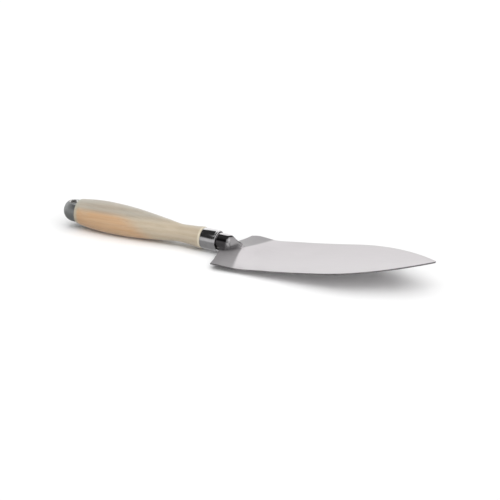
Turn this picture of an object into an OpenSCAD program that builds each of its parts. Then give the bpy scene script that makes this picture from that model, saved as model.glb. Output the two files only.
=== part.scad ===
// Hand trowel with a pressed steel blade, turned ash handle, steel ferrule and
// steel butt cap. Units are millimetres.
// +X runs from the butt of the handle to the tip of the blade, +Y across the
// blade, +Z up. The trowel lies on the floor at Z = 0 on the belly of its blade
// and the swell of its handle, and the origin is under the middle of the tool.

/* [Blade] */
// Blade length from the rear corners to the tip
blade_length = 179; // [160:1:190]
// Blade width over the parallel part
blade_width = 73.6; // [64:0.2:80]
// Sheet thickness
sheet = 1.2; // [1:0.1:1.6]
// Depth of the dish below the long edges
dish_depth = 4.7; // [4.2:0.1:5.6]
// Length of the pointed front part
point_length = 82; // [70:1:90]
// Outside radius of the pressed half-round neck
neck_radius = 7.1; // [6.8:0.1:7.2]

/* [Handle] */
// Largest radius of the wooden grip
grip_radius = 13.45; // [12.6:0.05:13.6]
// Exposed length of wood between ferrule and cap
grip_length = 122.4; // [118:0.2:126]
// Depth of the tang in the wood
tang_depth = 62; // [45:1:80]

/* [Ferrule] */
// Outside radius of the ferrule
ferrule_radius = 8.7; // [8.6:0.05:8.9]
// Length of the ferrule
ferrule_length = 14.4; // [14:0.2:17]

/* [Butt cap] */
// Length of the cap
cap_length = 13.8; // [13.5:0.1:15]
// Clear diameter through the hanging eyelet
hang_bore = 5; // [4.4:0.1:5.2]

/* [Hidden] */
eps = 0.01;

// handle axis: it passes through (axis_x, 0, axis_z) and falls toward the blade
axis_x = -27.1;
axis_z = 10.66;
axis_tilt = 1.75;
rear_x = -8.1;                     // rear corners of the blade
tip_x = rear_x + blade_length;     // tip of the blade
half_w = blade_width / 2;
belly_z = 1.5;                     // upper face of the sheet at its lowest point
fold_x = 13.7;                     // fold line at the long edges
knuckle_x = -9.6;                  // the round neck begins to narrow here
ridge_x = -6.4;                    // the top of the neck begins to fall here
nose_x = 2.3;                      // fold line at the middle, tip of the neck nose
nose_z = 12.0;
base_z = 7.0;                      // level the neck fades toward
nose_rise = 2.0;                   // swell of the sheet around the nose
edge_z = 4.75;                     // long edges at the fold line

function axis_at(x) = axis_z - tan(axis_tilt) * (x - axis_x);

// soft minimum and maximum, k is the width of the rounding
function smin(a, b, k) = let (h = max(k - abs(a - b), 0) / k) min(a, b) - h * h * k / 4;
function smax(a, b, k) = -smin(-a, -b, k);
function clamp01(t) = max(0, min(1, t));
function step3(t) = let (c = clamp01(t)) c * c * (3 - 2 * c);
// integral of step3, keeps on rising with slope 1 past t = 1
function ramp3(t) = t <= 0 ? 0 : t >= 1 ? t - 0.5 : t * t * t - t * t * t * t / 2;

// half width of the blade at x
function half_at(x) =
    let (t = clamp01((x - (tip_x - point_length)) / point_length))
    x < fold_x
        ? half_w + 0.9 * sin(180 * clamp01((fold_x - x) / 26)) - 0.8 * clamp01((rear_x + 5 - x) / 5)
        : half_w * (1 - pow(t, 1.95));

// height of the upper face along the long edges
function edge_at(x) = x < fold_x
    ? edge_z + 0.07 * min(fold_x - x, 14) - 0.008 * pow(max(0, fold_x - 14 - x), 2)
    : edge_z + 0.095 * (x - fold_x) + 3.18 * ramp3((x - fold_x - 10.8) / 60);

// depth of the dish below the long edges at x
function depth_at(x) = dish_depth * (1 - 0.3 * clamp01((x - fold_x - 27) / 70)) *
    (1 - pow(clamp01((x - tip_x + 75) / 75), 1.5));

// |y| as a share of the half width, rounded off near the middle
function share(y) = min(1, (sqrt(y * y + 25) - 5) / (sqrt(half_w * half_w + 25) - 5));

// fold line between wings and dish
function fold_at(y) = nose_x + (fold_x - 1.2 - nose_x) * pow(share(y), 1.15);

// wings behind the fold
function wing(x, y) =
    let (q = share(y))
    6 + (edge_at(min(x, fold_x)) - 6) * pow(q, 1.5) + 1.6 * pow(1 - q, 2) - 2.2 * q * (1 - q);

// low swell of the sheet where the nose of the neck meets it
function rise(x, y) = nose_rise * exp(-pow(y / 6.5, 2)) * step3((x + 9) / 8) *
    (1 - step3((x - fold_at(y) + 4.5) / 6));

// dished front part, with a faint rounded keel
function dish(x, y) =
    let (n = min(1, abs(y) / max(half_at(x), 0.5)), keel = sqrt(n * n + 0.0049) - 0.07)
    edge_at(x) - depth_at(x) * (1 - 0.129 * keel - 0.88 * n * n);

function sheet_plain(x, y) =
    let (f = fold_at(y), t = clamp01((x - f) / 26))
    rise(x, y) + (x <= f ? wing(x, y)
                         : wing(f, y) * pow(1 - t, 2) + dish(x, y) * (1 - pow(1 - t, 2)));

// half-round neck that narrows into a pointed nose; d is the inset of the face
function neck(x, y, d) =
    let (xs = x + 0.8 * d,
         t = clamp01(smax(0, xs - knuckle_x, 0.8) / (nose_x - knuckle_x)),
         u = clamp01(smax(0, xs - ridge_x, 1.6) / (nose_x - ridge_x)),
         s = 0.85 * step3(t / 0.3), r = neck_radius - d, a = abs(y) / (1 - 0.72 * t), c = axis_at(x),
         arch = a < 0.97 * r ? sqrt(r * r - a * a) : 0.243 * r - 9 * (a - 0.97 * r),
         tent = r - 1.32 * (sqrt(a * a + 0.8) - 0.894) - 6 * max(0, a - 1.04 * r),
         full = axis_at(nose_x) + neck_radius - base_z,
         fade = 1 - (1 - (nose_z - base_z) / full) * (1 - pow(1 - u, 1.8)),
         bow = nose_z - 4 * (x + 0.9 * d - nose_x + 0.8 * abs(y)) - 0.6 * d)
    smin(base_z + (c + arch * (1 - s) + tent * s - base_z) * fade - 1.1 * d * (1 - fade), bow, 0.5);

function top_z(x, y) = smax(neck(x, y, 0), sheet_plain(x, y), 2.4);
// underside: the wing level lifts inside the ferrule so the channel stays in its bore
function bottom_z(x, y) =
    let (lift = clamp01((-14.5 - x) / 4.4),
         base = sheet_plain(x, y) - sheet,
         up = axis_at(x) - 1.3)
    smax(neck(x, y, sheet), abs(y) < 9 ? base + (max(base, up) - base) * lift : base, 1.6);

// rear rim of the sheet, from the tongue inside the ferrule out to the corners
function rear_at(a) =
    a <= 6.1 ? -26.5 :
    a <= 6.8 ? -26.5 + 4.4 * (a - 6.1) / 0.7 :
    a <= 7.4 ? -22.1 + 6.8 * pow((a - 6.8) / 0.6, 0.7) :
    -15.3 + (rear_x + 15.3) * pow((a - 7.4) / (half_w - 7.4), 0.9);

cols = [0, 0.9, 1.8, 2.7, 3.6, 4.4, 5, 5.5, 5.8, 6.1, 6.45, 6.8, 7.1, 7.4, 7.9, 8.8, 10.6, 13.2,
        17, 21.5, 26, 30.5, 34.2, 36.8];
nc = len(cols) - 1;
kc = 15;                           // columns inside this one run straight along the neck
rear_rows = 30;
front_rows = 20;
nr = rear_rows + front_rows;
join_x = fold_x + 17.3;

// fraction of the half width for column j, evened out toward the tip
function frac(j, x) =
    let (e = clamp01((x - join_x) / (tip_x - join_x)))
    (cols[j] / 36.8) * (1 - e) + (j / nc) * e;

function grid_xy(i, j) =
    let (a = abs(j), s = sign(j))
    i < rear_rows
        ? let (x0 = rear_at(cols[a] * half_w / 36.8), x = x0 + (join_x - x0) * (i / rear_rows),
               y = a < kc ? cols[a] : cols[kc] + (cols[a] - cols[kc]) * (half_at(x) - cols[kc]) / (36.8 - cols[kc]))
          [x, s * y]
        : let (t = (i - rear_rows) / front_rows,
               x = join_x + (tip_x - 0.7 - join_x) * (1 - pow(1 - t, 1.25)))
          [x, s * half_at(x) * frac(a, x)];

module sheet_shell() {
    w = 2 * nc + 1;
    n = (nr + 1) * w;
    top = [for (i = [0:nr]) for (j = [-nc:nc]) let (p = grid_xy(i, j)) [p.x, p.y, top_z(p.x, p.y)]];
    bot = [for (i = [0:nr]) for (j = [-nc:nc]) let (p = grid_xy(i, j)) [p.x, p.y, bottom_z(p.x, p.y)]];
    ring = concat(
        [for (k = [0:w - 1]) k],
        [for (i = [1:nr]) i * w + w - 1],
        [for (k = [w - 2:-1:0]) nr * w + k],
        [for (i = [nr - 1:-1:1]) i * w]);
    m = len(ring);
    faces = concat(
        [for (i = [0:nr - 1]) for (k = [0:w - 2]) let (a = i * w + k)
            each (k < nc ? [[a, a + 1, a + w], [a + 1, a + w + 1, a + w]]
                         : [[a, a + 1, a + w + 1], [a, a + w + 1, a + w]])],
        [for (i = [0:nr - 1]) for (k = [0:w - 2]) let (a = n + i * w + k)
            each (k < nc ? [[a, a + w, a + 1], [a + 1, a + w, a + w + 1]]
                         : [[a, a + w + 1, a + 1], [a, a + w, a + w + 1]])],
        [for (q = [0:m - 1]) let (a = ring[q], b = ring[(q + 1) % m])
            each [[a, n + a, b], [b, n + a, n + b]]]);
    polyhedron(points = concat(top, bot), faces = faces, convexity = 6);
}

// places children on the handle axis: local +Z runs toward the blade and
// local Z = 0 is the shoulder of the wood behind the ferrule
shoulder_x = -33.9;
module on_axis() {
    translate([shoulder_x, 0, axis_at(shoulder_x)]) rotate([0, 90 + axis_tilt, 0]) children();
}

// grip outline: distance behind the shoulder against radius, both per mm of the
// nominal grip, smoothed by a Catmull-Rom curve
grip_pts = [[-2, 9.2], [0.4, 9.2], [3.6, 8.9], [7.6, 8.4], [13.6, 8.0], [21.6, 7.5], [28.6, 8.2],
            [38.6, 9.5], [48.6, 10.7], [58.6, 11.8], [68.6, 12.7], [78.6, 13.25], [88.6, 13.45],
            [98.6, 13.3], [108.6, 12.65], [116, 11.75], [122.4, 10.85], [127, 9.9]];
function cr(a, b, c, d, t) = 0.5 * (2 * b + (c - a) * t + (2 * a - 5 * b + 4 * c - d) * t * t +
    (3 * b - a - 3 * c + d) * t * t * t);
function swell(r) = r + (grip_radius - 13.45) * clamp01((r - 7.5) / 5.95);
grip_curve = [for (i = [1:len(grip_pts) - 3]) for (t = [0:0.25:0.99])
    [cr(grip_pts[i - 1][0], grip_pts[i][0], grip_pts[i + 1][0], grip_pts[i + 2][0], t) * grip_length / 122.4,
     swell(cr(grip_pts[i - 1][1], grip_pts[i][1], grip_pts[i + 1][1], grip_pts[i + 2][1], t))]];

tenon_r = 7.5;
neck_tenon = 6.8;
cap_r = 10.3;
butt_tenon = 10.6;
butt_tenon_r = 6.9;
tang_r = 5.6;
tang_step = 12.5;
eyelet_s = grip_length + 6.4;
seat_h = 7.7;

// blade: pressed sheet with half-round neck, wings and dish
module blade() {
    color([0.78, 0.77, 0.78]) sheet_shell();
}

// tang: steel pin lying in the neck channel, stepped down and tapered in the wood
module tang() {
    color([0.45, 0.44, 0.45])
    difference() {
        on_axis() rotate_extrude($fn = 72)
            polygon([[0, -tang_depth], [1.6, -tang_depth], [3.4, -tang_depth + 9], [3.4, 5.2],
                     [tang_r, 7.4], [tang_r, 34], [0, 34]]);
        translate([knuckle_x - 1.4, -10, -10]) cube([20, 20, 40]);
    }
}

// tang weld: two beads joining the tang to the channel lips
module tang_weld() {
    color([0.52, 0.50, 0.48])
    for (s = [-1, 1])
        on_axis() translate([3.6, s * 5.5, 16]) {
            cylinder(r = 0.9, h = 6.4, $fn = 32);
            sphere(r = 0.9, $fn = 32);
            translate([0, 0, 6.4]) sphere(r = 0.9, $fn = 32);
        }
}

// ferrule: polished steel tube with a rounded front lip
module ferrule() {
    color([0.62, 0.61, 0.62])
    on_axis() rotate_extrude($fn = 96)
        polygon(concat(
            [[tenon_r + 0.05, 0.05], [ferrule_radius - 0.25, 0.05], [ferrule_radius, 0.3]],
            [for (a = [0:15:90]) [ferrule_radius - 0.6 + 0.6 * cos(a), ferrule_length - 0.6 + 0.6 * sin(a)]],
            [[tenon_r + 0.35, ferrule_length], [tenon_r + 0.05, ferrule_length - 0.3]]));
}

// handle: turned ash grip with a tenon at each end, a tang bore and a cross bore
module handle() {
    color([0.76, 0.66, 0.52])
    on_axis() difference() {
        rotate_extrude($fn = 96)
            polygon(concat(
                [[0, neck_tenon], [tenon_r - 0.4, neck_tenon], [tenon_r, neck_tenon - 0.4], [tenon_r, 0],
                 [8.75, 0], [9.2, -0.4]],
                [for (p = grip_curve) if (p[0] > 0.6 && p[0] < grip_length - 1) [p[1], -p[0]]],
                [[swell(10.85), -grip_length + 0.5], [10.5, -grip_length],
                 [butt_tenon_r, -grip_length], [butt_tenon_r, -grip_length - butt_tenon + 1],
                 [butt_tenon_r - 1, -grip_length - butt_tenon], [0, -grip_length - butt_tenon]]));
        translate([0, 0, -tang_depth - 0.3]) rotate_extrude($fn = 72)
            polygon([[0, 0], [1.8, 0], [3.5, 9.2], [3.5, tang_depth + neck_tenon - 2.6],
                     [tang_r + 0.1, tang_depth + neck_tenon - 0.6], [tang_r + 0.1, tang_depth + neck_tenon + 1], [0, tang_depth + neck_tenon + 1]]);
        translate([0, 0, -eyelet_s]) rotate([0, 90, 0])
            cylinder(r = hang_bore / 2 + 0.55, h = 40, center = true, $fn = 64);
    }
}

// end cap: drawn steel cup over the butt tenon, with two flats for the eyelet
module end_cap() {
    color([0.47, 0.48, 0.48])
    on_axis() difference() {
        rotate_extrude($fn = 96)
            polygon(concat(
                [[butt_tenon_r + 0.05, -grip_length - 0.05], [cap_r - 0.2, -grip_length - 0.05], [cap_r, -grip_length - 0.25]],
                [for (a = [0:9:90]) [2.6 + (cap_r - 2.6) * pow(cos(a), 0.85), -grip_length - 2.2 - (cap_length - 2.2) * sin(a)]],
                [[0, -grip_length - cap_length], [0, -grip_length - butt_tenon - 0.1],
                 [butt_tenon_r + 0.05, -grip_length - butt_tenon - 0.1]]));
        translate([0, 0, -eyelet_s]) rotate([0, 90, 0])
            cylinder(r = hang_bore / 2 + 0.55, h = 40, center = true, $fn = 64);
        for (s = [-1, 1]) translate([s * (seat_h + 7), 0, -grip_length - 12.05])
            cube([14, 28, 24], center = true);
    }
}

// hang eyelet: hollow rivet through cap and butt tenon, flanged both sides
module hang_eyelet() {
    color([0.66, 0.65, 0.63])
    on_axis() translate([0, 0, -eyelet_s]) rotate([0, 90, 0])
        rotate_extrude($fn = 64)
            polygon(concat(
                [[hang_bore / 2, -seat_h - 0.2], [hang_bore / 2 + 0.3, -seat_h - 0.6], [hang_bore / 2 + 0.9, -seat_h - 0.6],
                 [hang_bore / 2 + 1.3, -seat_h - 0.3], [hang_bore / 2 + 1.3, -seat_h], [hang_bore / 2 + 0.5, -seat_h]],
                [[hang_bore / 2 + 0.5, seat_h], [hang_bore / 2 + 1.3, seat_h], [hang_bore / 2 + 1.3, seat_h + 0.3],
                 [hang_bore / 2 + 0.9, seat_h + 0.6], [hang_bore / 2 + 0.3, seat_h + 0.6], [hang_bore / 2, seat_h + 0.2]]));
}

blade();
tang();
tang_weld();
ferrule();
handle();
end_cap();
hang_eyelet();
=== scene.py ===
import math
import random

import bmesh
import bpy
import numpy as np
from mathutils import Matrix, Vector

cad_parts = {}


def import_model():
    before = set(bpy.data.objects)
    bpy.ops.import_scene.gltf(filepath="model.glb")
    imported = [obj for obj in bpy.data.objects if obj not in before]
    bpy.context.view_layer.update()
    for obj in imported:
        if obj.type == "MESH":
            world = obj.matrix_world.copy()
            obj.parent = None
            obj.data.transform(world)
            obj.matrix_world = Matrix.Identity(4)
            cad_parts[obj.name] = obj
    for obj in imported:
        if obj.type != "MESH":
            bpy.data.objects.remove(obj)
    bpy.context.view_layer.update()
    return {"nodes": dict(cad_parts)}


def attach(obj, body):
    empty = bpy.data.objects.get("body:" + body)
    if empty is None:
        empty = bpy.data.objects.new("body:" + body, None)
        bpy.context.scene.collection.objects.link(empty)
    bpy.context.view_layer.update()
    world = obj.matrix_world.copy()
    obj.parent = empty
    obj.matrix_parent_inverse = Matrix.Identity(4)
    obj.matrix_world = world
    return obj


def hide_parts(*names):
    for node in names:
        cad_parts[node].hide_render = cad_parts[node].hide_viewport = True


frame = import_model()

random.seed(7)
MM = 0.001
scene = bpy.context.scene

# ---------------------------------------------------------------- dimensions
# the same driving sizes as the CAD model, in millimetres
BLADE_LENGTH, BLADE_WIDTH, SHEET = 179.0, 73.6, 1.2
DISH_DEPTH, POINT_LENGTH, NECK_R = 4.7, 82.0, 7.1
GRIP_R, GRIP_LEN, TANG_DEPTH = 13.45, 122.4, 62.0
FER_R, FER_LEN = 8.7, 14.4
CAP_LEN, HANG_BORE = 13.8, 5.0
AXIS_X, AXIS_Z, TILT = -27.1, 10.66, math.radians(1.75)
REAR_X = -8.1
TIP_X = REAR_X + BLADE_LENGTH
HALF_W = BLADE_WIDTH / 2
FOLD_X, KNUCKLE_X, RIDGE_X, NOSE_X, NOSE_Z, BASE_Z, EDGE_Z = 13.7, -9.6, -6.4, 2.3, 12.0, 7.0, 4.75
NOSE_RISE = 2.0
JOIN_X = FOLD_X + 17.3
SHOULDER_X = -33.9
TENON_R, NECK_TENON = 7.5, 6.8
CAP_R, BUTT_TENON, BUTT_TENON_R = 10.3, 10.6, 6.9
EYELET_S, SEAT_H = GRIP_LEN + 6.4, 7.7


def axis_at(x):
    return AXIS_Z - math.tan(TILT) * (x - AXIS_X)


def smin(a, b, k):
    h = np.maximum(k - np.abs(a - b), 0) / k
    return np.minimum(a, b) - h * h * k / 4


def smax(a, b, k):
    return -smin(-a, -b, k)


def c01(t):
    return np.clip(t, 0, 1)


def ramp3(t):
    t = np.asarray(t, float)
    u = np.clip(t, 0, 1)
    return np.where(t <= 0, 0, np.where(t >= 1, t - 0.5, u ** 3 - u ** 4 / 2))


# ---------------------------------------------------------------- blade shape
def half_at(x):
    x = np.asarray(x, float)
    t = c01((x - (TIP_X - POINT_LENGTH)) / POINT_LENGTH)
    rear = HALF_W + 0.9 * np.sin(math.pi * c01((FOLD_X - x) / 26)) - 0.8 * c01((REAR_X + 5 - x) / 5)
    return np.where(x < FOLD_X, rear, HALF_W * (1 - t ** 1.95))


def edge_at(x):
    x = np.asarray(x, float)
    rear = EDGE_Z + 0.07 * np.minimum(FOLD_X - x, 14) - 0.008 * np.maximum(0, FOLD_X - 14 - x) ** 2
    front = EDGE_Z + 0.095 * (x - FOLD_X) + 3.18 * ramp3((x - FOLD_X - 10.8) / 60)
    return np.where(x < FOLD_X, rear, front)


def depth_at(x):
    return DISH_DEPTH * (1 - 0.3 * c01((x - FOLD_X - 27) / 70)) * (1 - c01((x - TIP_X + 75) / 75) ** 1.5)


def share(y):
    """|y| as a share of the half width, rounded off near the middle."""
    return np.minimum(1, (np.sqrt(y * y + 25) - 5) / (math.sqrt(HALF_W ** 2 + 25) - 5))


def fold_at(y):
    return NOSE_X + (FOLD_X - 1.2 - NOSE_X) * share(y) ** 1.15


def wing(x, y):
    q = share(y)
    return 6 + (edge_at(np.minimum(x, FOLD_X)) - 6) * q ** 1.5 + 1.6 * (1 - q) ** 2 - 2.2 * q * (1 - q)


def step3(t):
    t = c01(t)
    return t * t * (3 - 2 * t)


def rise(x, y):
    """A low swell of the sheet where the nose of the neck meets it."""
    return NOSE_RISE * np.exp(-(y / 6.5) ** 2) * step3((x + 9) / 8) * (1 - step3((x - fold_at(y) + 4.5) / 6))


def dish(x, y):
    n = np.minimum(1, np.abs(y) / np.maximum(half_at(x), 0.5))
    keel = np.sqrt(n * n + 0.0049) - 0.07
    return edge_at(x) - depth_at(x) * (1 - 0.129 * keel - 0.88 * n * n)


def sheet_plain(x, y):
    f = fold_at(y)
    t = c01((x - f) / 26)
    return rise(x, y) + np.where(x <= f, wing(x, y), wing(f, y) * (1 - t) ** 2 + dish(x, y) * (1 - (1 - t) ** 2))


def neck(x, y, d):
    xs = x + 0.8 * d
    t = c01(smax(0 * xs, xs - KNUCKLE_X, 0.8) / (NOSE_X - KNUCKLE_X))
    u = c01(smax(0 * xs, xs - RIDGE_X, 1.6) / (NOSE_X - RIDGE_X))
    s = 0.85 * c01(t / 0.3) ** 2 * (3 - 2 * c01(t / 0.3))
    r = NECK_R - d
    a = np.abs(y) / (1 - 0.72 * t)
    c = axis_at(x)
    full = axis_at(NOSE_X) + NECK_R - BASE_Z
    arch = np.where(a < 0.97 * r, np.sqrt(np.maximum(r * r - a * a, 0)), 0.243 * r - 9 * (a - 0.97 * r))
    tent = r - 1.32 * (np.sqrt(a * a + 0.8) - 0.894)
    tent = np.where(a > 1.04 * r, tent - 6 * (a - 1.04 * r), tent)
    fade = 1 - (1 - (NOSE_Z - BASE_Z) / full) * (1 - (1 - u) ** 1.8)
    bow = NOSE_Z - 4 * (x + 0.9 * d - NOSE_X + 0.8 * np.abs(y)) - 0.6 * d
    return smin(BASE_Z + (c + arch * (1 - s) + tent * s - BASE_Z) * fade - 1.1 * d * (1 - fade), bow, 0.5)


def top_z(x, y):
    return smax(neck(x, y, 0), sheet_plain(x, y), 2.4)


def bottom_z(x, y):
    lift = c01((-14.5 - x) / 4.4)
    base = sheet_plain(x, y) - SHEET
    up = axis_at(x) - 1.3
    low = np.where(np.abs(y) < 9, base + (np.maximum(base, up) - base) * lift, base)
    return smax(neck(x, y, SHEET), low, 1.6)


def rear_at(a):
    a = np.asarray(a, float)
    r = np.full(a.shape, -26.5)
    r = np.where(a > 6.1, -26.5 + 4.4 * (a - 6.1) / 0.7, r)
    r = np.where(a > 6.8, -22.1 + 6.8 * c01((a - 6.8) / 0.6) ** 0.7, r)
    r = np.where(a > 7.4, -15.3 + (REAR_X + 15.3) * np.maximum((a - 7.4) / (HALF_W - 7.4), 0) ** 0.9, r)
    return r


# ---------------------------------------------------------------- mesh helpers
def new_object(name, verts, faces, smooth=True, angle=None):
    me = bpy.data.meshes.new(name)
    me.from_pydata([tuple(v) for v in verts], [], [tuple(f) for f in faces])
    me.validate()
    me.update()
    ob = bpy.data.objects.new(name, me)
    scene.collection.objects.link(ob)
    if smooth:
        me.polygons.foreach_set("use_smooth", [True] * len(me.polygons))
    if angle is not None:
        bpy.context.view_layer.objects.active = ob
        ob.select_set(True)
        bpy.ops.object.shade_smooth_by_angle(angle=math.radians(angle))
        ob.select_set(False)
    return ob


def axis_matrix():
    """Local +Z runs toward the blade, local Z = 0 is the wood's front shoulder (mm)."""
    return Matrix.Translation((SHOULDER_X, 0, axis_at(SHOULDER_X))) @ Matrix.Rotation(math.pi / 2 + TILT, 4, "Y")


AX = axis_matrix()


def revolve(name, profile, segs=160, matrix=AX, angle=35):
    """Closed profile [(r, z), ...] in mm turned about the handle axis."""
    verts, rings = [], []
    for r, z in profile:
        if r < 1e-6:
            rings.append([len(verts)])
            verts.append((0, 0, z))
        else:
            rings.append(list(range(len(verts), len(verts) + segs)))
            verts += [(r * math.cos(2 * math.pi * k / segs), r * math.sin(2 * math.pi * k / segs), z) for k in range(segs)]
    faces = []
    n = len(profile)
    for i in range(n):
        a, b = rings[i], rings[(i + 1) % n]
        if len(a) == 1 and len(b) == 1:
            continue
        for k in range(segs):
            k2 = (k + 1) % segs
            if len(a) == 1:
                faces.append((a[0], b[k2], b[k]))
            elif len(b) == 1:
                faces.append((a[k], a[k2], b[0]))
            else:
                faces.append((a[k], a[k2], b[k2], b[k]))
    verts = [Vector(v) for v in verts]
    verts = [(matrix @ v) * MM for v in verts]
    ob = new_object(name, verts, faces, True, None)
    bm = bmesh.new()
    bm.from_mesh(ob.data)
    bmesh.ops.recalc_face_normals(bm, faces=bm.faces)
    bm.to_mesh(ob.data)
    bm.free()
    if angle is not None:
        bpy.context.view_layer.objects.active = ob
        ob.select_set(True)
        bpy.ops.object.shade_smooth_by_angle(angle=math.radians(angle))
        ob.select_set(False)
    return ob


def cut(ob, tool):
    """Applies an exact boolean difference and deletes the tool."""
    m = ob.modifiers.new("cut", "BOOLEAN")
    m.operation, m.solver, m.object = "DIFFERENCE", "EXACT", tool
    bpy.context.view_layer.objects.active = ob
    bpy.ops.object.modifier_apply(modifier=m.name)
    bpy.data.objects.remove(tool, do_unlink=True)


def tool_cylinder(r, z0, z1, matrix, segs=96):
    prof = [(0, z0), (r, z0), (r, z1), (0, z1)]
    return revolve("tool", prof, segs, matrix, None)


# ---------------------------------------------------------------- blade mesh
def build_blade():
    near = np.concatenate([np.linspace(0, 5.4, 19), np.linspace(5.6, 8.0, 25), np.linspace(8.3, 13.2, 15)])
    far = np.linspace(14.0, 36.8, 30)
    pos = np.concatenate([near, far])
    nc = len(pos) - 1
    cols = np.concatenate([-pos[:0:-1], pos])
    idx = np.arange(-nc, nc + 1)
    rear_rows, front_rows = 130, 110
    k13 = 8.8
    X, Y = [], []
    for i in range(rear_rows):
        a = np.abs(cols)
        x0 = rear_at(a * HALF_W / 36.8)
        t = i / rear_rows
        x = x0 + (JOIN_X - x0) * t
        h = half_at(x)
        y = np.where(a <= k13, a, k13 + (a - k13) * (h - k13) / (36.8 - k13))
        X.append(x)
        Y.append(np.sign(cols) * y)
    for i in range(front_rows + 1):
        t = i / front_rows
        x = JOIN_X + (TIP_X - 0.7 - JOIN_X) * (1 - (1 - t) ** 1.25)
        e = np.clip((x - JOIN_X) / (TIP_X - JOIN_X), 0, 1)
        f = (np.abs(cols) / 36.8) * (1 - e) + (np.abs(idx) / nc) * e
        X.append(np.full(len(cols), x))
        Y.append(np.sign(cols) * half_at(x) * f)
    X, Y = np.array(X), np.array(Y)
    nr, w = X.shape
    # outline ring and its outward direction, to round the cut edge of the sheet
    ring = [(0, k) for k in range(w)] + [(i, w - 1) for i in range(1, nr)] + \
           [(nr - 1, k) for k in range(w - 2, -1, -1)] + [(i, 0) for i in range(nr - 2, 0, -1)]
    P = np.array([[X[r], Y[r]] for r in ring])
    prev, nxt = np.roll(P, 1, 0), np.roll(P, -1, 0)
    tan = (nxt - prev)
    tan /= np.maximum(np.linalg.norm(tan, axis=1, keepdims=True), 1e-9)
    out = np.stack([tan[:, 1], -tan[:, 0]], 1)
    if (out * (P - np.array([60.0, 0]))).sum() < 0:
        out = -out
    Zt, Zb = top_z(X, Y), bottom_z(X, Y)
    verts = [(X[i, k], Y[i, k], Zt[i, k]) for i in range(nr) for k in range(w)]
    n = nr * w
    verts += [(X[i, k], Y[i, k], Zb[i, k]) for i in range(nr) for k in range(w)]
    faces = []
    for i in range(nr - 1):
        for k in range(w - 1):
            a = i * w + k
            faces.append((a, a + 1, a + w + 1, a + w)[::-1])
            faces.append((n + a, n + a + 1, n + a + w + 1, n + a + w))
    # rim profile: the grid's own boundary is pulled in by `inset`, rings bulge back out to it
    inset = 0.28
    ring_ids = [r[0] * w + r[1] for r in ring]
    for q, (vi, o) in enumerate(zip(ring_ids, out)):
        for base in (0, n):
            x, y, z = verts[base + vi]
            verts[base + vi] = (x - o[0] * inset, y - o[1] * inset, z)
    prof = [(-0.10, 0.07), (0.0, 0.24), (0.0, 0.76), (-0.10, 0.93)]
    m = len(ring)
    rings = [ring_ids]
    for off, fr in prof:
        ids = []
        for q in range(m):
            x, y = P[q] + out[q] * off
            zt, zb = Zt[ring[q]], Zb[ring[q]]
            ids.append(len(verts))
            verts.append((x, y, zt + (zb - zt) * fr))
        rings.append(ids)
    rings.append([n + v for v in ring_ids])
    for a, b in zip(rings[:-1], rings[1:]):
        for q in range(m):
            q2 = (q + 1) % m
            faces.append((a[q], b[q], b[q2], a[q2]))
    verts = [(x * MM, y * MM, z * MM) for x, y, z in verts]
    ob = new_object("blade_sheet", verts, faces)
    bm = bmesh.new()
    bm.from_mesh(ob.data)
    bmesh.ops.recalc_face_normals(bm, faces=bm.faces)
    bm.to_mesh(ob.data)
    bm.free()
    bpy.context.view_layer.objects.active = ob
    ob.select_set(True)
    bpy.ops.object.shade_smooth_by_angle(angle=math.radians(50))
    ob.select_set(False)
    # the cut edge of the sheet is painted dark: painted shade on its narrow side face
    at = ob.data.attributes.new("cut_edge", "FLOAT", "POINT")
    at.data.foreach_set("value", (np.arange(len(ob.data.vertices)) >= 2 * n).astype(np.float32))
    # the polished skin of the neck
    co = np.empty(len(ob.data.vertices) * 3)
    ob.data.vertices.foreach_get("co", co)
    co = co.reshape(-1, 3) / MM
    x, y, z = co.T
    step = lambda lo, hi, v: c01((v - lo) / (hi - lo)) ** 2 * (3 - 2 * c01((v - lo) / (hi - lo)))
    at = ob.data.attributes.new("neck_skin", "FLOAT", "POINT")
    at.data.foreach_set("value", (step(0.5, 2.0, z - sheet_plain(x, y)) * step(NOSE_X + 3, NOSE_X - 1, x)).astype(np.float32))
    # painted shade behind the fold: a dark base on the wings stands in for their dark reflection, the same on both
    # wings, with a soft border along the fold
    a = np.abs(y)
    soft = 0.35 + 0.05 * a
    heel = step(-soft, soft, fold_at(y) - x) * step(2.2, 0.9, z - sheet_plain(x, y))
    at = ob.data.attributes.new("heel_painted_shade", "FLOAT", "POINT")
    at.data.foreach_set("value", (0.6 * heel).astype(np.float32))
    # painted shade: a dark mask on both sides of the neck and, weaker, in the corner where they meet the sheet
    t = c01((x - KNUCKLE_X) / (NOSE_X - KNUCKLE_X))
    ridge = axis_at(x) + NECK_R
    side = step(0.10, 0.34, (ridge - z) / (ridge - BASE_Z)) * (1 - step(-10.6, -8.2, x)) * (1 - step(7.6, 12.5, np.abs(y)))
    gap = np.abs(y) - 7.6 * (1 - 0.72 * t)
    corner = np.exp(-(gap / 3.2) ** 2) * (1 - step(-2, 3, x)) * step(3.5, 1.5, z - sheet_plain(x, y))
    shade = np.maximum(side, 0.8 * corner)
    at = ob.data.attributes.new("neck_painted_shade", "FLOAT", "POINT")
    at.data.foreach_set("value", shade.astype(np.float32))
    return ob


# ---------------------------------------------------------------- turned parts
GRIP = [(-2, 9.2), (0.4, 9.2), (3.6, 8.9), (7.6, 8.4), (13.6, 8.0), (21.6, 7.5), (28.6, 8.2),
        (38.6, 9.5), (48.6, 10.7), (58.6, 11.8), (68.6, 12.7), (78.6, 13.25), (88.6, 13.45),
        (98.6, 13.3), (108.6, 12.65), (116, 11.75), (122.4, 10.85), (127, 9.9)]


def cr(a, b, c, d, t):
    return 0.5 * (2 * b + (c - a) * t + (2 * a - 5 * b + 4 * c - d) * t * t + (3 * b - a - 3 * c + d) * t ** 3)


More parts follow.
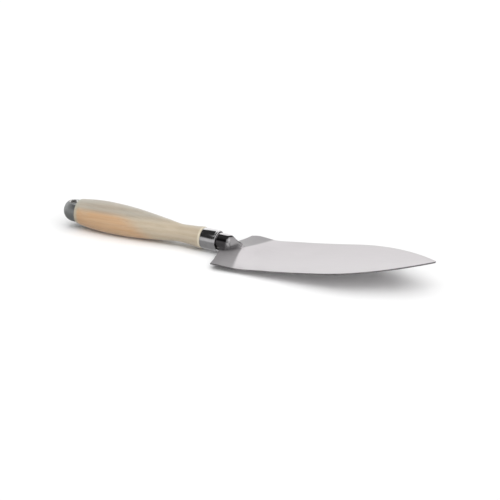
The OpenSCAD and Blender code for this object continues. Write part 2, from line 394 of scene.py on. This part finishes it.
def grip_curve():
    pts = []
    for i in range(1, len(GRIP) - 2):
        for k in range(8):
            t = k / 8
            pts.append((cr(*[GRIP[i + j][0] for j in (-1, 0, 1, 2)], t), cr(*[GRIP[i + j][1] for j in (-1, 0, 1, 2)], t)))
    return pts


def fillet(a, b, c, r, n=4):
    """Points of a small round at corner b between a and c."""
    a, b, c = Vector(a), Vector(b), Vector(c)
    u, v = (a - b).normalized(), (c - b).normalized()
    out = []
    for k in range(n + 1):
        t = k / n
        p = (1 - t) ** 2 * (b + u * r) + 2 * t * (1 - t) * b + t * t * (b + v * r)
        out.append((p.x, p.y))
    return out


def build_handle():
    body = [(r, -s) for s, r in grip_curve() if 0.9 < s < GRIP_LEN - 0.9]
    prof = [(0, NECK_TENON), (TENON_R - 0.4, NECK_TENON), (TENON_R, NECK_TENON - 0.4), (TENON_R, 0)]
    prof += fillet((TENON_R, 0), (8.95, 0), (9.2, -0.6), 0.3)
    prof += fillet((8.95, 0), (9.2, -0.5), body[0], 0.35)
    prof += body
    prof += fillet(body[-1], (10.88, -GRIP_LEN + 0.45), (10.45, -GRIP_LEN), 0.4)
    prof += fillet((10.88, -GRIP_LEN + 0.45), (10.45, -GRIP_LEN), (9.0, -GRIP_LEN), 0.3)
    prof += [(BUTT_TENON_R, -GRIP_LEN), (BUTT_TENON_R, -GRIP_LEN - BUTT_TENON + 1),
             (BUTT_TENON_R - 1, -GRIP_LEN - BUTT_TENON), (0, -GRIP_LEN - BUTT_TENON)]
    ob = revolve("handle_wood", prof, 160)
    cut(ob, tool_cylinder(HANG_BORE / 2 + 0.55, -20, 20, AX @ Matrix.Translation((0, 0, -EYELET_S)) @ Matrix.Rotation(math.pi / 2, 4, "Y")))
    tz = -TANG_DEPTH - 0.3
    bore = [(0, tz), (1.8, tz), (3.5, tz + 9.2), (3.5, NECK_TENON - 2.9), (5.7, NECK_TENON - 0.9), (5.7, NECK_TENON + 1), (0, NECK_TENON + 1)]
    cut(ob, revolve("tool", bore, 96, AX, None))
    return ob


def build_ferrule():
    r0, r1 = TENON_R + 0.05, FER_R
    prof = [(r0, 0.05)]
    prof += fillet((r0, 0.05), (r1, 0.05), (r1, 2), 0.35)
    # a shallow rolled groove behind the lip and the rounded lip itself
    prof += [(r1, FER_LEN - 2.6), (r1 - 0.10, FER_LEN - 2.2), (r1 - 0.12, FER_LEN - 1.95), (r1 - 0.08, FER_LEN - 1.7),
             (r1 + 0.02, FER_LEN - 1.35)]
    for a in range(0, 91, 10):
        prof.append((r1 - 0.62 + 0.66 * math.cos(math.radians(a)), FER_LEN - 0.7 + 0.66 * math.sin(math.radians(a))))
    prof += [(r0 + 0.4, FER_LEN - 0.02), (r0 + 0.1, FER_LEN - 0.2), (r0, FER_LEN - 0.5)]
    return revolve("ferrule_tube", prof, 192)


def build_cap():
    z0 = -GRIP_LEN
    prof = [(BUTT_TENON_R + 0.05, z0 - 0.05)]
    prof += fillet((BUTT_TENON_R, z0 - 0.05), (CAP_R, z0 - 0.05), (CAP_R, z0 - 2), 0.3)
    for k in range(0, 25):
        a = math.radians(90 * k / 24)
        prof.append((2.6 + (CAP_R - 2.6) * max(math.cos(a), 0) ** 0.85, z0 - 2.2 - (CAP_LEN - 2.2) * math.sin(a)))
    prof += [(0, z0 - CAP_LEN), (0, z0 - BUTT_TENON - 0.1), (BUTT_TENON_R + 0.05, z0 - BUTT_TENON - 0.1)]
    ob = revolve("butt_cap", prof, 160)
    here = AX @ Matrix.Translation((0, 0, -EYELET_S))
    cut(ob, tool_cylinder(HANG_BORE / 2 + 0.55, -20, 20, here @ Matrix.Rotation(math.pi / 2, 4, "Y")))
    for s in (-1, 1):
        corners = [Vector((x * 7 + s * (SEAT_H + 7), y * 14, z * 12.5 - GRIP_LEN - 11.9)) for x in (-1, 1) for y in (-1, 1) for z in (-1, 1)]
        faces = [(0, 1, 3, 2), (4, 6, 7, 5), (0, 4, 5, 1), (2, 3, 7, 6), (0, 2, 6, 4), (1, 5, 7, 3)]
        cut(ob, new_object("tool", [(AX @ c) * MM for c in corners], faces, False))
    b = ob.modifiers.new("rim", "BEVEL")
    b.width, b.segments, b.limit_method, b.angle_limit = 0.00022, 2, "ANGLE", math.radians(40)
    b.harden_normals = False
    bpy.context.view_layer.objects.active = ob
    ob.select_set(True)
    bpy.ops.object.shade_smooth_by_angle(angle=math.radians(38))
    ob.select_set(False)
    return ob


def build_eyelet():
    h, b = SEAT_H, HANG_BORE / 2

    def flange(s):
        pts = [(b, s * (h - 0.9)), (b + 0.02, s * (h - 0.1)), (b + 0.10, s * (h + 0.28)), (b + 0.28, s * (h + 0.5)),
               (b + 0.52, s * (h + 0.6)), (b + 0.85, s * (h + 0.57)), (b + 1.12, s * (h + 0.42)), (b + 1.28, s * (h + 0.2)),
               (b + 1.3, s * (h + 0.02)), (b + 1.25, s * h), (b + 0.5, s * h)]
        return pts

    prof = flange(-1) + flange(1)[::-1]
    m = AX @ Matrix.Translation((0, 0, -EYELET_S)) @ Matrix.Rotation(math.pi / 2, 4, "Y")
    return revolve("hang_eyelet_rivet", prof, 96, m)


# ---------------------------------------------------------------- materials
class Nodes:
    def __init__(self, name):
        self.mat = bpy.data.materials.new(name)
        self.mat.use_nodes = True
        self.t = self.mat.node_tree
        self.t.nodes.clear()
        self.out = self.t.nodes.new("ShaderNodeOutputMaterial")
        self.bsdf = self.t.nodes.new("ShaderNodeBsdfPrincipled")
        self.t.links.new(self.bsdf.outputs[0], self.out.inputs[0])
        self.tc = self.t.nodes.new("ShaderNodeTexCoord")

    def link(self, a, b):
        self.t.links.new(a, b)

    def set(self, **kw):
        for k, v in kw.items():
            self.bsdf.inputs[k.replace("_", " ")].default_value = v

    def new(self, kind, **props):
        n = self.t.nodes.new(kind)
        for k, v in props.items():
            setattr(n, k, v)
        return n

    def mapping(self, scale=(1, 1, 1), loc=(0, 0, 0), rot=(0, 0, 0), src=None):
        m = self.new("ShaderNodeMapping")
        m.inputs["Scale"].default_value = scale
        m.inputs["Location"].default_value = loc
        m.inputs["Rotation"].default_value = rot
        self.link(src or self.tc.outputs["Object"], m.inputs["Vector"])
        return m.outputs[0]

    def noise(self, vec, scale, detail=3.0, rough=0.5, dist=0.0):
        n = self.new("ShaderNodeTexNoise")
        n.inputs["Scale"].default_value = scale
        n.inputs["Detail"].default_value = detail
        n.inputs["Roughness"].default_value = rough
        n.inputs["Distortion"].default_value = dist
        self.link(vec, n.inputs["Vector"])
        return n.outputs["Fac"]

    def ramp(self, fac, stops):
        r = self.new("ShaderNodeValToRGB")
        e = r.color_ramp.elements
        while len(e) < len(stops):
            e.new(0.5)
        for el, (p, c) in zip(e, stops):
            el.position = p
            el.color = (*c, 1) if len(c) == 3 else c
        self.link(fac, r.inputs[0])
        return r.outputs[0]

    def math(self, op, a, b=None, c=None, clamp=False):
        n = self.new("ShaderNodeMath", operation=op)
        n.use_clamp = clamp
        for i, v in enumerate((a, b, c)):
            if v is None:
                continue
            if isinstance(v, (int, float)):
                n.inputs[i].default_value = v
            else:
                self.link(v, n.inputs[i])
        return n.outputs[0]

    def maprange(self, v, a, b, c, d, smooth=False):
        n = self.new("ShaderNodeMapRange")
        if smooth:
            n.interpolation_type = "SMOOTHSTEP"
        for i, val in zip((1, 2, 3, 4), (a, b, c, d)):
            n.inputs[i].default_value = val
        self.link(v, n.inputs[0])
        return n.outputs[0]

    def mix(self, fac, a, b, blend="MIX"):
        n = self.new("ShaderNodeMix", data_type="RGBA", blend_type=blend)
        if isinstance(fac, (int, float)):
            n.inputs[0].default_value = fac
        else:
            self.link(fac, n.inputs[0])
        for i, v in ((6, a), (7, b)):
            if isinstance(v, tuple):
                n.inputs[i].default_value = (*v, 1) if len(v) == 3 else v
            else:
                self.link(v, n.inputs[i])
        return n.outputs[2]

    def bump(self, height, dist, strength=1.0, normal=None):
        b = self.new("ShaderNodeBump")
        b.inputs["Distance"].default_value = dist
        b.inputs["Strength"].default_value = strength
        self.link(height, b.inputs["Height"])
        if normal is not None:
            self.link(normal, b.inputs["Normal"])
        return b.outputs[0]


def blade_material():
    n = Nodes("satin_stainless")
    # fine grinding lines along the blade, broad uneven sheen, a polished neck, and painted shade on the wings, the neck
    # sides and the rim
    fine = n.noise(n.mapping((60, 2600, 2600)), 1.0, 2.0, 0.6)
    coarse = n.noise(n.mapping((14, 420, 420)), 1.0, 3.0, 0.6)
    cloud = n.noise(n.mapping((22, 34, 34)), 1.0, 3.0, 0.55)
    skin = n.new("ShaderNodeAttribute", attribute_name="neck_skin").outputs["Fac"]
    wing_shade = n.new("ShaderNodeAttribute", attribute_name="heel_painted_shade").outputs["Fac"]
    shade = n.new("ShaderNodeAttribute", attribute_name="neck_painted_shade").outputs["Fac"]
    base = n.mix(n.maprange(cloud, 0.3, 0.7, 0, 1), (0.555, 0.530, 0.541), (0.585, 0.559, 0.571))
    base = n.mix(n.maprange(coarse, 0.35, 0.65, 0, 0.16), base, (0.50, 0.478, 0.49))
    base = n.mix(n.math("MULTIPLY", skin, 0.9), base, (0.63, 0.61, 0.62))
    # painted shade: the wings behind the fold get a near-black base in place of their dark reflection
    base = n.mix(n.math("MULTIPLY", wing_shade, 0.9), base, n.mix(n.maprange(coarse, 0.35, 0.65, 0, 1), (0.068, 0.065, 0.067), (0.050, 0.048, 0.049)))
    # painted shade: the neck sides and the corner at their foot get a near-black base
    base = n.mix(n.math("MULTIPLY", shade, 0.9), base, (0.034, 0.031, 0.033))
    edge = n.new("ShaderNodeAttribute", attribute_name="cut_edge").outputs["Fac"]
    # painted shade: the cut edge of the sheet gets a dark base
    base = n.mix(n.math("MULTIPLY", edge, n.maprange(coarse, 0.3, 0.7, 0.7, 0.95)), base, (0.10, 0.096, 0.098))
    n.link(base, n.bsdf.inputs["Base Color"])
    rough = n.math("MULTIPLY_ADD", wing_shade, 0.15, n.maprange(cloud, 0.3, 0.7, 0.28, 0.33))
    rough = n.math("MULTIPLY_ADD", skin, -0.17, rough)
    n.link(rough, n.bsdf.inputs["Roughness"])
    n.link(n.math("MULTIPLY_ADD", skin, 0.58, 0.42), n.bsdf.inputs["Metallic"])
    h = n.math("ADD", n.math("MULTIPLY", fine, 0.6), n.math("MULTIPLY", coarse, 0.4))
    n.link(n.bump(h, 0.00001, 0.3), n.bsdf.inputs["Normal"])
    return n.mat


def wood_material():
    n = Nodes("oiled_ash")
    sep = n.new("ShaderNodeSeparateXYZ")
    n.link(n.tc.outputs["Object"], sep.inputs[0])
    x, z = sep.outputs[0], sep.outputs[2]
    # growth rings, cut almost along the grain: their heart lies below and beside the handle
    base_vec = n.mapping((1, 1, 1), (0, 0.021, 0.034), (0, TILT, 0))
    w = n.new("ShaderNodeTexWave", wave_type="RINGS", rings_direction="X", wave_profile="SIN")
    for k, v in (("Scale", 68.0), ("Distortion", 1.3), ("Detail", 2.0), ("Detail Scale", 0.5)):
        w.inputs[k].default_value = v
    n.link(base_vec, w.inputs["Vector"])
    rings = w.outputs["Fac"]
    warp = n.noise(n.mapping((15, 44, 44)), 1.0, 3.0, 0.55)
    fibre = n.noise(n.mapping((22, 900, 900)), 1.0, 4.0, 0.65)
    pores = n.noise(n.mapping((90, 2600, 2600)), 1.0, 2.0, 0.5)
    # amber heartwood low in the belly, pale sapwood above it and toward the ferrule
    edge = n.math("ADD", n.math("MULTIPLY", z, -1000.0), n.math("MULTIPLY_ADD", warp, 18.0, 13.4))
    mid = n.math("SUBTRACT", 1.0, n.math("POWER", n.math("ABSOLUTE", n.math("MULTIPLY_ADD", x, 1 / 0.034, 0.109 / 0.034)), 2.0), clamp=True)
    edge = n.math("ADD", edge, n.math("MULTIPLY_ADD", mid, 6.5, -2.0))
    amber = n.maprange(edge, -4.5, 5.0, 0.0, 1.0, True)
    amber = n.math("MULTIPLY", amber, n.maprange(n.math("MULTIPLY_ADD", z, 1.5, x), -0.086, -0.062, 1.0, 0.08, True))
    # painted shade: the top of the handle is painted a greyer, darker tone
    top = n.maprange(z, 0.0185, 0.0235, 0.0, 1.0, True)
    col = n.mix(amber, (0.437, 0.380, 0.288), (0.500, 0.306, 0.158))
    col = n.mix(n.math("MULTIPLY", top, 0.85), col, (0.335, 0.318, 0.275))
    col = n.mix(n.math("MULTIPLY", n.maprange(rings, 0.15, 0.9, 1.0, 0.0), 0.34), col, (0.82, 0.76, 0.70), "MULTIPLY")
    col = n.mix(n.maprange(fibre, 0.35, 0.7, 0.0, 0.30), col, (0.60, 0.50, 0.39))
    pore_mask = n.math("MULTIPLY", n.maprange(pores, 0.60, 0.72, 0, 1), n.maprange(rings, 0.0, 0.5, 1.0, 0.2))
    col = n.mix(n.math("MULTIPLY", pore_mask, 0.38), col, (0.24, 0.16, 0.10))
    # the turned edges at both ends are cleaner and paler
    s = n.math("MULTIPLY_ADD", x, -1000.0, SHOULDER_X)
    ends = n.math("MAXIMUM", n.maprange(s, 0.9, 2.0, 1.0, 0.0, True), n.maprange(s, GRIP_LEN - 5.0, GRIP_LEN - 1.8, 0.0, 1.0, True))
    col = n.mix(n.math("MULTIPLY", ends, n.maprange(x, -0.10, -0.06, 0.75, 0.8)), col, n.mix(n.maprange(x, -0.10, -0.06, 0, 1), (0.38, 0.37, 0.30), (0.62, 0.56, 0.44)))
    n.link(col, n.bsdf.inputs["Base Color"])
    n.link(n.maprange(fibre, 0.3, 0.7, 0.36, 0.46), n.bsdf.inputs["Roughness"])
    n.set(Coat_Weight=0.35, Coat_Roughness=0.25, IOR=1.5)
    h = n.math("ADD", n.math("MULTIPLY", fibre, 0.5), n.math("MULTIPLY", pore_mask, -0.8))
    n.link(n.bump(h, 0.00006, 0.5), n.bsdf.inputs["Normal"])
    return n.mat


def turned_steel(name, colour, rough, spread=0.05, grain=0.25, aniso=0.3):
    n = Nodes(name)
    n.set(Metallic=1.0, Anisotropic=aniso)
    turn = n.noise(n.mapping((2600, 120, 120)), 1.0, 2.0, 0.6)
    cloud = n.noise(n.mapping((140, 140, 140)), 1.0, 4.0, 0.6)
    c2 = tuple(x * 0.86 for x in colour)
    n.link(n.mix(n.maprange(cloud, 0.35, 0.7, 0, 1), colour, c2), n.bsdf.inputs["Base Color"])
    n.link(n.math("ADD", n.maprange(turn, 0.3, 0.7, rough, rough + spread), n.maprange(cloud, 0.4, 0.7, 0, spread)), n.bsdf.inputs["Roughness"])
    n.link(n.bump(turn, 0.000008, grain), n.bsdf.inputs["Normal"])
    return n.mat


def rough_steel(name, colour, rough):
    n = Nodes(name)
    n.set(Metallic=1.0)
    g = n.noise(n.mapping((420, 420, 420)), 1.0, 5.0, 0.6)
    c = n.noise(n.mapping((90, 160, 160)), 1.0, 3.0, 0.5)
    n.link(n.mix(n.maprange(c, 0.35, 0.65, 0, 1), colour, tuple(x * 0.7 for x in colour)), n.bsdf.inputs["Base Color"])
    n.link(n.maprange(g, 0.3, 0.7, rough - 0.08, rough + 0.1), n.bsdf.inputs["Roughness"])
    n.link(n.bump(g, 0.00012, 0.5), n.bsdf.inputs["Normal"])
    return n.mat


# ---------------------------------------------------------------- build
pieces = {
    "blade": (build_blade(), blade_material(), "satin_steel"),
    "handle": (build_handle(), wood_material(), "ash_wood"),
    "ferrule": (build_ferrule(), turned_steel("polished_ferrule", (0.72, 0.71, 0.72), 0.10, 0.04, 0.15, 0.2), "polished_steel"),
    "end_cap": (build_cap(), turned_steel("satin_cap", (0.42, 0.43, 0.43), 0.46, 0.08, 0.4, 0.0), "cap_steel"),
    "hang_eyelet": (build_eyelet(), turned_steel("eyelet_steel", (0.62, 0.61, 0.59), 0.24, 0.06, 0.2, 0.0), "eyelet_steel"),
}
for node, (ob, mat, slot) in pieces.items():
    ob.data.materials.clear()
    ob.data.materials.append(mat)
    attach(ob, "root")
    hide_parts(node)

for node, mat in (("tang", rough_steel("forged_tang", (0.40, 0.39, 0.39), 0.42)), ("tang_weld", rough_steel("weld_metal", (0.46, 0.43, 0.40), 0.45))):
    ob = frame["nodes"][node]
    for s in ob.material_slots:
        s.material = mat
    if not ob.material_slots:
        ob.data.materials.append(mat)

# ---------------------------------------------------------------- stage
def stage_floor():
    s = 3.0
    ob = new_object("floor", [(-s, -s, 0), (s, -s, 0), (s, s, 0), (-s, s, 0)], [(0, 1, 2, 3)], False)
    n = Nodes("floor_white")
    g = n.noise(n.mapping((3, 3, 3)), 1.0, 2.0, 0.5)
    n.link(n.mix(n.maprange(g, 0.3, 0.7, 0, 1), (0.90, 0.90, 0.90), (0.93, 0.93, 0.93)), n.bsdf.inputs["Base Color"])
    n.set(Roughness=0.9)
    n.bsdf.inputs["Specular IOR Level"].default_value = 0.2
    ob.data.materials.append(n.mat)
    ob.location.z = -0.00002
    ob.visible_glossy = False
    return ob


stage_floor()

# camera: same viewing angle and framing as the photograph
A, E, D = math.radians(27.5), math.radians(20.0), 1.247
back = Vector((math.sin(A) * math.cos(E), -math.cos(A) * math.cos(E), math.sin(E)))
target = Vector((9.46, 0, 19.35)) * MM
cam_data = bpy.data.cameras.new("camera")
cam = bpy.data.objects.new("camera", cam_data)
scene.collection.objects.link(cam)
cam.location = target + back * D
cam.rotation_euler = (-back).to_track_quat("-Z", "Y").to_euler()
cam_data.lens = 110.0
cam_data.sensor_width = 36.0
cam_data.shift_x = -0.0006
cam_data.shift_y = -0.0275
cam_data.clip_start = 0.01
scene.camera = cam


def area(name, loc, aim, size, power, size_y=None, glossy=True, colour=(1, 1, 1)):
    d = bpy.data.lights.new(name, "AREA")
    d.energy = power
    d.shape = "RECTANGLE" if size_y else "SQUARE"
    d.size = size
    if size_y:
        d.size_y = size_y
    d.color = colour
    o = bpy.data.objects.new(name, d)
    scene.collection.objects.link(o)
    o.location = loc
    o.rotation_euler = (Vector(aim) - Vector(loc)).to_track_quat("-Z", "Y").to_euler()
    o.visible_glossy = glossy
    return o


def world():
    """A white sweep behind the object, dark overhead, a pale horizon and softbox in front, a grey floor in reflections."""
    w = bpy.data.worlds.new("studio")
    scene.world = w
    w.use_nodes = True
    n = Nodes.__new__(Nodes)
    n.t = w.node_tree
    n.t.nodes.clear()
    out = n.new("ShaderNodeOutputWorld")
    bg = n.new("ShaderNodeBackground")
    tc = n.new("ShaderNodeTexCoord")
    d = tc.outputs["Generated"]

    def along(v):
        m = n.new("ShaderNodeVectorMath", operation="DOT_PRODUCT")
        m.inputs[1].default_value = v
        n.link(d, m.inputs[0])
        return m.outputs["Value"]

    far = along((-math.sin(A), math.cos(A), 0))
    right = along((math.cos(A), math.sin(A), 0))
    elev = n.math("MULTIPLY", n.math("ARCSINE", along((0, 0, 1))), 180 / math.pi)
    wall = n.math("MULTIPLY", n.maprange(elev, 43.0, 49.0, 1, 0, True), n.maprange(far, -0.05, 0.15, 0, 1, True))
    front = n.maprange(far, -0.1, 0.15, 1, 0, True)
    line = n.math("MULTIPLY", n.maprange(elev, 14, 29, 1, 0, True), front)
    box = n.math("MULTIPLY", n.math("MULTIPLY", n.maprange(elev, 24, 32, 0, 1, True), n.maprange(elev, 58, 66, 1, 0, True)),
                 n.math("MULTIPLY", n.maprange(right, -0.5, -0.3, 0, 1, True), n.maprange(far, -0.25, 0.0, 1, 0, True)))
    strip = n.math("MULTIPLY", n.maprange(right, 0.55, 0.70, 0, 0.45, True), n.math("MULTIPLY", n.maprange(elev, 5, 16, 0, 1, True), n.maprange(elev, 55, 68, 1, 0, True)))
    strip = n.math("MULTIPLY", strip, n.maprange(far, 0.0, 0.15, 1, 0, True))
    level = n.math("ADD", n.math("MULTIPLY_ADD", wall, 1.15, n.math("ADD", strip, 0.035)), n.math("ADD", n.math("MULTIPLY", line, 0.56), n.math("MULTIPLY", box, 0.5)))
    floor = n.maprange(far, 0.3, 0.9, 0.29, 0.5, True)
    level = n.mix(n.maprange(elev, -18, -3, 1, 0, True), level, floor)
    seen = n.new("ShaderNodeLightPath").outputs["Is Camera Ray"]
    n.link(n.mix(seen, level, (1.0, 1.0, 1.0)), bg.inputs[0])
    bg.inputs[1].default_value = 1.0
    n.link(bg.outputs[0], out.inputs[0])
    w.cycles_visibility.diffuse = False


def sun(name, frm, strength, angle):
    d = bpy.data.lights.new(name, "SUN")
    d.energy = strength
    d.angle = math.radians(angle)
    o = bpy.data.objects.new(name, d)
    scene.collection.objects.link(o)
    o.rotation_euler = Vector(frm).to_track_quat("Z", "Y").to_euler()
    o.visible_glossy = False


world()
sun("overhead", (0.06, 0.0, 1.0), 2.35, 95)
sun("tip_fill", (1.0, -0.35, 0.40), 1.1, 50)
sun("front_fill", tuple(back + Vector((-0.2, 0, 0.25))), 1.5, 80)

scene.view_settings.view_transform = "Standard"
scene.view_settings.look = "None"
scene.view_settings.exposure = 0.0
scene.view_settings.gamma = 1.0
